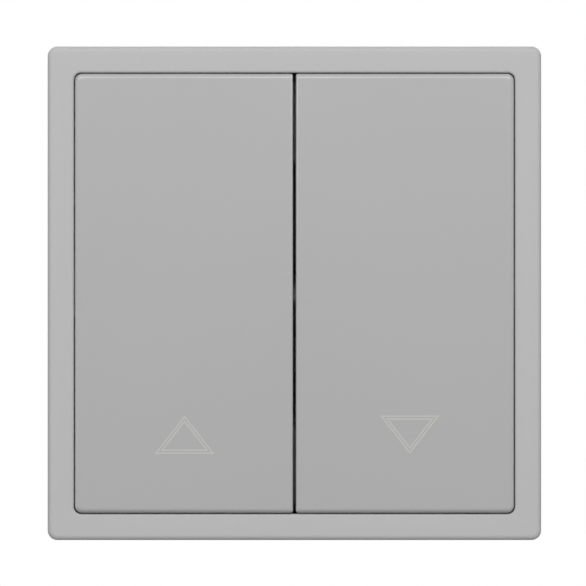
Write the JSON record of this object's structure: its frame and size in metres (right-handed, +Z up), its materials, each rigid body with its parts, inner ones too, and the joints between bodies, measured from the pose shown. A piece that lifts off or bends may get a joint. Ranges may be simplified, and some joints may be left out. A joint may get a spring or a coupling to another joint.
{
  "type": "roller shutter switch",
  "caption": "Flush roller shutter switch: two push rockers, up and down, in a square cover frame on a steel support plate, with push-in terminals and spreading claws behind.",
  "frame": {"origin": "centre of the box-screw pattern in the wall plane, on the back face of the support plate", "axes": "+X to the right seen from the room, +Z up, +Y into the wall; the rockers face -Y"},
  "size_m": [0.081, 0.0347, 0.081],
  "materials": {
    "cover_plastic": "fine matt moulded surface",
    "rocker_plastic": "fine matt moulded surface",
    "housing_plastic": "moulded, slight sheen",
    "bearing_plastic": "moulded, slight sheen",
    "actuator_plastic": "moulded, slight sheen",
    "plunger_plastic": "smooth, waxy",
    "port_plastic": "moulded, slight sheen",
    "button_plastic": "moulded, slight sheen",
    "plate_steel": "zinc plated, satin",
    "claw_steel": "zinc plated, satin",
    "screw_steel": "zinc plated, bright",
    "spring_steel": "bright spring steel",
    "pin_steel": "ground, bright",
    "contact_brass": "stamped, satin",
    "contact_copper": "rolled, satin",
    "tip_silver": "satin silver"
  },
  "bodies": {
    "insert": {"cover_frame": "cover_plastic", "support_plate": "plate_steel", "frame_spring_left": "spring_steel", "frame_spring_right": "spring_steel", "spring_rivets": "screw_steel", "base_housing": "housing_plastic", "bearing_cover": "bearing_plastic", "cover_screws": "screw_steel", "pivot_pin": "pin_steel", "return_spring_up": "spring_steel", "return_spring_down": "spring_steel", "line_contact": "contact_brass", "interlock_link": "contact_brass", "make_contact_up": "contact_brass", "make_contact_down": "contact_brass", "fixed_tips": "tip_silver", "terminal_spring_up": "spring_steel", "terminal_spring_line": "spring_steel", "terminal_spring_down": "spring_steel", "port_block_up": "port_plastic", "port_block_line": "port_plastic", "port_block_down": "port_plastic"},
    "push_up": {"rocker_up": "rocker_plastic", "actuator_up": "actuator_plastic", "plunger_spring_up": "spring_steel"},
    "nose_up": {"plunger_up": "plunger_plastic"},
    "seesaw_up": {"contact_rocker_up": "contact_copper", "moving_tips_up": "tip_silver"},
    "push_down": {"rocker_down": "rocker_plastic", "actuator_down": "actuator_plastic", "plunger_spring_down": "spring_steel"},
    "nose_down": {"plunger_down": "plunger_plastic"},
    "seesaw_down": {"contact_rocker_down": "contact_copper", "moving_tips_down": "tip_silver"},
    "release_up": {"release_button_up": "button_plastic"},
    "release_line": {"release_button_line": "button_plastic"},
    "release_down": {"release_button_down": "button_plastic"},
    "screw_left": {"claw_screw_left": "screw_steel"},
    "nut_left": {"claw_nut_left": "claw_steel"},
    "spreader_left": {"claw_left": "claw_steel"},
    "screw_right": {"claw_screw_right": "screw_steel"},
    "nut_right": {"claw_nut_right": "claw_steel"},
    "spreader_right": {"claw_right": "claw_steel"}
  },
  "joints": [
    {"name": "press_up", "type": "hinge", "parent": "insert", "child": "push_up", "pos_m": [-0.0088, -0.005, 0], "axis": [1, 0, 0], "range_deg": [0, 4.5], "stiffness_Nm_per_rad": 0.11, "springref_deg": -9.74, "deforming": ["return_spring_up"]},
    {"name": "plunge_up", "type": "slide", "parent": "push_up", "child": "nose_up", "axis": [0, -1, 0], "range_m": [0, 0.0006], "stiffness_N_per_m": 700, "springref_m": -0.0015, "deforming": ["plunger_spring_up"]},
    {"name": "tip_over_up", "type": "hinge", "parent": "insert", "child": "seesaw_up", "pos_m": [-0.0088, 0.01699, 0.00083], "axis": [1, 0, 0], "range_deg": [-13.5, 0]},
    {"name": "press_down", "type": "hinge", "parent": "insert", "child": "push_down", "pos_m": [0.0088, -0.005, 0], "axis": [1, 0, 0], "range_deg": [0, 4.5], "stiffness_Nm_per_rad": 0.11, "springref_deg": -9.74, "deforming": ["return_spring_down"]},
    {"name": "plunge_down", "type": "slide", "parent": "push_down", "child": "nose_down", "axis": [0, -1, 0], "range_m": [0, 0.0006], "stiffness_N_per_m": 700, "springref_m": -0.0015, "deforming": ["plunger_spring_down"]},
    {"name": "tip_over_down", "type": "hinge", "parent": "insert", "child": "seesaw_down", "pos_m": [0.0088, 0.01699, 0.00083], "axis": [1, 0, 0], "range_deg": [-13.5, 0]},
    {"name": "push_release_up", "type": "slide", "parent": "insert", "child": "release_up", "axis": [0, -1, 0], "range_m": [0, 0.0012], "stiffness_N_per_m": 2000, "springref_m": -0.0004, "deforming": ["terminal_spring_up"]},
    {"name": "push_release_line", "type": "slide", "parent": "insert", "child": "release_line", "axis": [0, -1, 0], "range_m": [0, 0.0012], "stiffness_N_per_m": 2000, "springref_m": -0.0004, "deforming": ["terminal_spring_line"]},
    {"name": "push_release_down", "type": "slide", "parent": "insert", "child": "release_down", "axis": [0, -1, 0], "range_m": [0, 0.0012], "stiffness_N_per_m": 2000, "springref_m": -0.0004, "deforming": ["terminal_spring_down"]},
    {"name": "turn_screw_left", "type": "hinge", "parent": "insert", "child": "screw_left", "pos_m": [-0.0228, 0, 0], "axis": [0, 1, 0], "range_deg": [0, 4320]},
    {"name": "draw_nut_left", "type": "slide", "parent": "insert", "child": "nut_left", "axis": [0, -1, 0], "range_m": [0, 0.006]},
    {"name": "spread_claw_left", "type": "hinge", "parent": "nut_left", "child": "spreader_left", "pos_m": [-0.0228, 0.013, 0], "axis": [0, 0, 1], "range_deg": [0, 24]},
    {"name": "turn_screw_right", "type": "hinge", "parent": "insert", "child": "screw_right", "pos_m": [0.0228, 0, 0], "axis": [0, 1, 0], "range_deg": [0, 4320]},
    {"name": "draw_nut_right", "type": "slide", "parent": "insert", "child": "nut_right", "axis": [0, -1, 0], "range_m": [0, 0.006]},
    {"name": "spread_claw_right", "type": "hinge", "parent": "nut_right", "child": "spreader_right", "pos_m": [0.0228, 0.013, 0], "axis": [0, 0, -1], "range_deg": [0, 24]}
  ],
  "couplings": [
    {"joint": "tip_over_up", "follows": "press_up", "ratio": -3},
    {"joint": "tip_over_down", "follows": "press_down", "ratio": -3},
    {"joint": "turn_screw_left", "follows": "draw_nut_left", "rad_per_m": 12566},
    {"joint": "spread_claw_left", "follows": "draw_nut_left", "rad_per_m": 69.813},
    {"joint": "turn_screw_right", "follows": "draw_nut_right", "rad_per_m": 12566},
    {"joint": "spread_claw_right", "follows": "draw_nut_right", "rad_per_m": 69.813}
  ]
}
